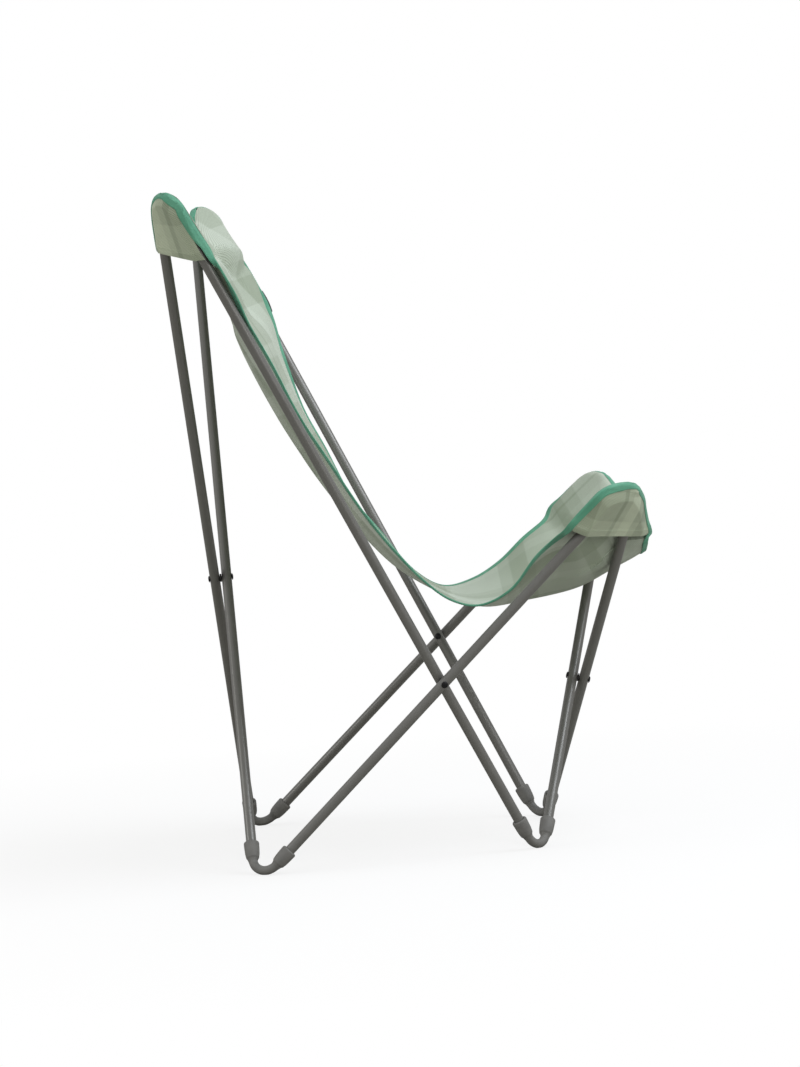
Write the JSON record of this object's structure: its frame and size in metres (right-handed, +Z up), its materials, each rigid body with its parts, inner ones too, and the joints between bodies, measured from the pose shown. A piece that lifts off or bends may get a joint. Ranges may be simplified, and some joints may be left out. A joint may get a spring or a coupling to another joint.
{
  "type": "folding sling chair",
  "caption": "Folding lounge chair with crossed straight tubes joined by flexible elbows and a one-piece cloth sling hung from its upper corners.",
  "frame": {"origin": "centre of the chair's bounding box at floor level, midway between its sides", "axes": "+Z up, -Y the way the sitter faces, +X the sitter's left"},
  "size_m": [0.8893, 0.7444, 1.0527],
  "materials": {
    "tube": "warm grey powder coat, satin",
    "elbow": "flexible grey moulded elbow, matt",
    "rivet": "black, satin",
    "spacer": "black, matt",
    "cloth": "woven sling cloth, pale grey green with tone-on-tone blocks",
    "pocket": "woven mesh patch, grey green",
    "binding": "woven edge tape, sea green",
    "tab": "woven tape, black"
  },
  "bodies": {
    "back_foot_r": {"elbow_back_foot_r": "elbow"},
    "back_bar_forward": {"back_tube_forward": "tube", "elbow_back_top_l": "elbow", "pocket_back_l": "pocket"},
    "back_pivot": {"rivet_back": "rivet", "spacer_back": "spacer"},
    "back_bar_rear": {"back_tube_rear": "tube", "elbow_back_top_r": "elbow", "pocket_back_r": "pocket"},
    "short_bar_r": {"side_tube_short_r": "tube", "rivet_side_r": "rivet", "spacer_side_r": "spacer", "elbow_front_top_r": "elbow", "pocket_front_r": "pocket"},
    "long_bar_r": {"side_tube_long_r": "tube", "elbow_front_foot_r": "elbow"},
    "front_bar_rear": {"front_tube_rear": "tube", "rivet_front_rear": "rivet", "spacer_front": "spacer"},
    "short_bar_l": {"side_tube_short_l": "tube", "rivet_side_l": "rivet", "spacer_side_l": "spacer", "elbow_front_top_l": "elbow", "elbow_back_foot_l": "elbow", "pocket_front_l": "pocket"},
    "long_bar_l": {"side_tube_long_l": "tube", "elbow_front_foot_l": "elbow"},
    "front_bar_forward": {"front_tube_forward": "tube", "rivet_front_forward": "rivet"},
    "sling_back_panel": {"sling_back": "cloth", "binding_back": "binding", "edge_tab": "tab"},
    "sling_seat_panel": {"sling_seat": "cloth", "binding_seat": "binding"}
  },
  "joints": [
    {"name": "fold", "type": "hinge", "parent": "back_foot_r", "child": "back_bar_forward", "pos_m": [-0.30823, 0.25949, 0.0284], "axis": [0, -0.9986, 0.0532], "range_deg": [0, 33.6], "deforming": ["elbow_back_foot_r", "elbow_back_top_l", "pocket_back_l"]},
    {"name": "back_pivot_turn", "type": "hinge", "parent": "back_bar_forward", "child": "back_pivot", "pos_m": [0.00035, 0.31449, 0.44183], "axis": [0, -0.9986, 0.0532], "range_deg": [-33.65, 0]},
    {"name": "back_bar_rear_turn", "type": "hinge", "parent": "back_pivot", "child": "back_bar_rear", "pos_m": [0.00035, 0.31449, 0.44183], "axis": [0, -0.9986, 0.0532], "range_deg": [-33.65, 0], "deforming": ["elbow_back_top_r", "pocket_back_r"]},
    {"name": "foot_bend_r", "type": "hinge", "parent": "back_bar_forward", "child": "short_bar_r", "pos_m": [0.02573, 0.05127, 0.06647], "axis": [-0.8204, 0.5601, -0.1145], "range_deg": [0, 65.21], "deforming": ["elbow_front_top_r", "pocket_front_r"]},
    {"name": "side_pivot_r", "type": "hinge", "parent": "short_bar_r", "child": "long_bar_r", "pos_m": [-0.28037, -0.0269, 0.2762], "axis": [-0.9746, -0.1909, -0.1173], "range_deg": [-71.25, 0]},
    {"name": "front_foot_bend_r", "type": "hinge", "parent": "long_bar_r", "child": "front_bar_rear", "pos_m": [-0.0556, 0.01243, -0.07375], "axis": [-0.5713, -0.7631, 0.3021], "range_deg": [0, 60.28], "deforming": ["elbow_front_foot_r"]},
    {"name": "foot_bend_l", "type": "hinge", "parent": "back_bar_rear", "child": "short_bar_l", "pos_m": [-0.03532, 0.05793, 0.06691], "axis": [-0.8314, -0.5542, 0.041], "range_deg": [0, 62.56], "deforming": ["elbow_back_foot_l", "elbow_front_top_l", "pocket_front_l"]},
    {"name": "side_pivot_l", "type": "hinge", "parent": "short_bar_l", "child": "long_bar_l", "pos_m": [0.27822, -0.03418, 0.30142], "axis": [0.9727, -0.1966, -0.1235], "range_deg": [0, 71.31]},
    {"name": "front_foot_bend_l", "type": "hinge", "parent": "long_bar_l", "child": "front_bar_forward", "pos_m": [0.02967, 0.0132, -0.03492], "axis": [-0.5965, 0.7734, -0.2145], "range_deg": [0, 60.13], "deforming": ["elbow_front_foot_l"]},
    {"name": "sling_back_fold", "type": "hinge", "parent": "back_pivot", "child": "sling_back_panel", "pos_m": [0, -0.023, 1.1783], "axis": [1, 0, 0], "range_deg": [0, 20.19], "deforming": ["sling_back", "binding_back", "edge_tab"]},
    {"name": "sling_seat_fold", "type": "hinge", "parent": "sling_back_panel", "child": "sling_seat_panel", "pos_m": [0, -0.0241, 0.4092], "axis": [1, 0, 0], "range_deg": [-93.4, 0], "deforming": ["sling_seat", "binding_seat"]}
  ],
  "couplings": [
    {"joint": "back_pivot_turn", "follows": "fold", "ratio": -1},
    {"joint": "back_bar_rear_turn", "follows": "fold", "ratio": -1},
    {"joint": "foot_bend_r", "follows": "fold", "ratio": 1.9392},
    {"joint": "side_pivot_r", "follows": "fold", "ratio": -2.1191},
    {"joint": "front_foot_bend_r", "follows": "fold", "ratio": 1.7925},
    {"joint": "foot_bend_l", "follows": "fold", "ratio": 1.8605},
    {"joint": "side_pivot_l", "follows": "fold", "ratio": 2.1208},
    {"joint": "front_foot_bend_l", "follows": "fold", "ratio": 1.7882},
    {"joint": "sling_back_fold", "follows": "fold", "ratio": 0.5993},
    {"joint": "sling_seat_fold", "follows": "fold", "ratio": -2.7783}
  ]
}
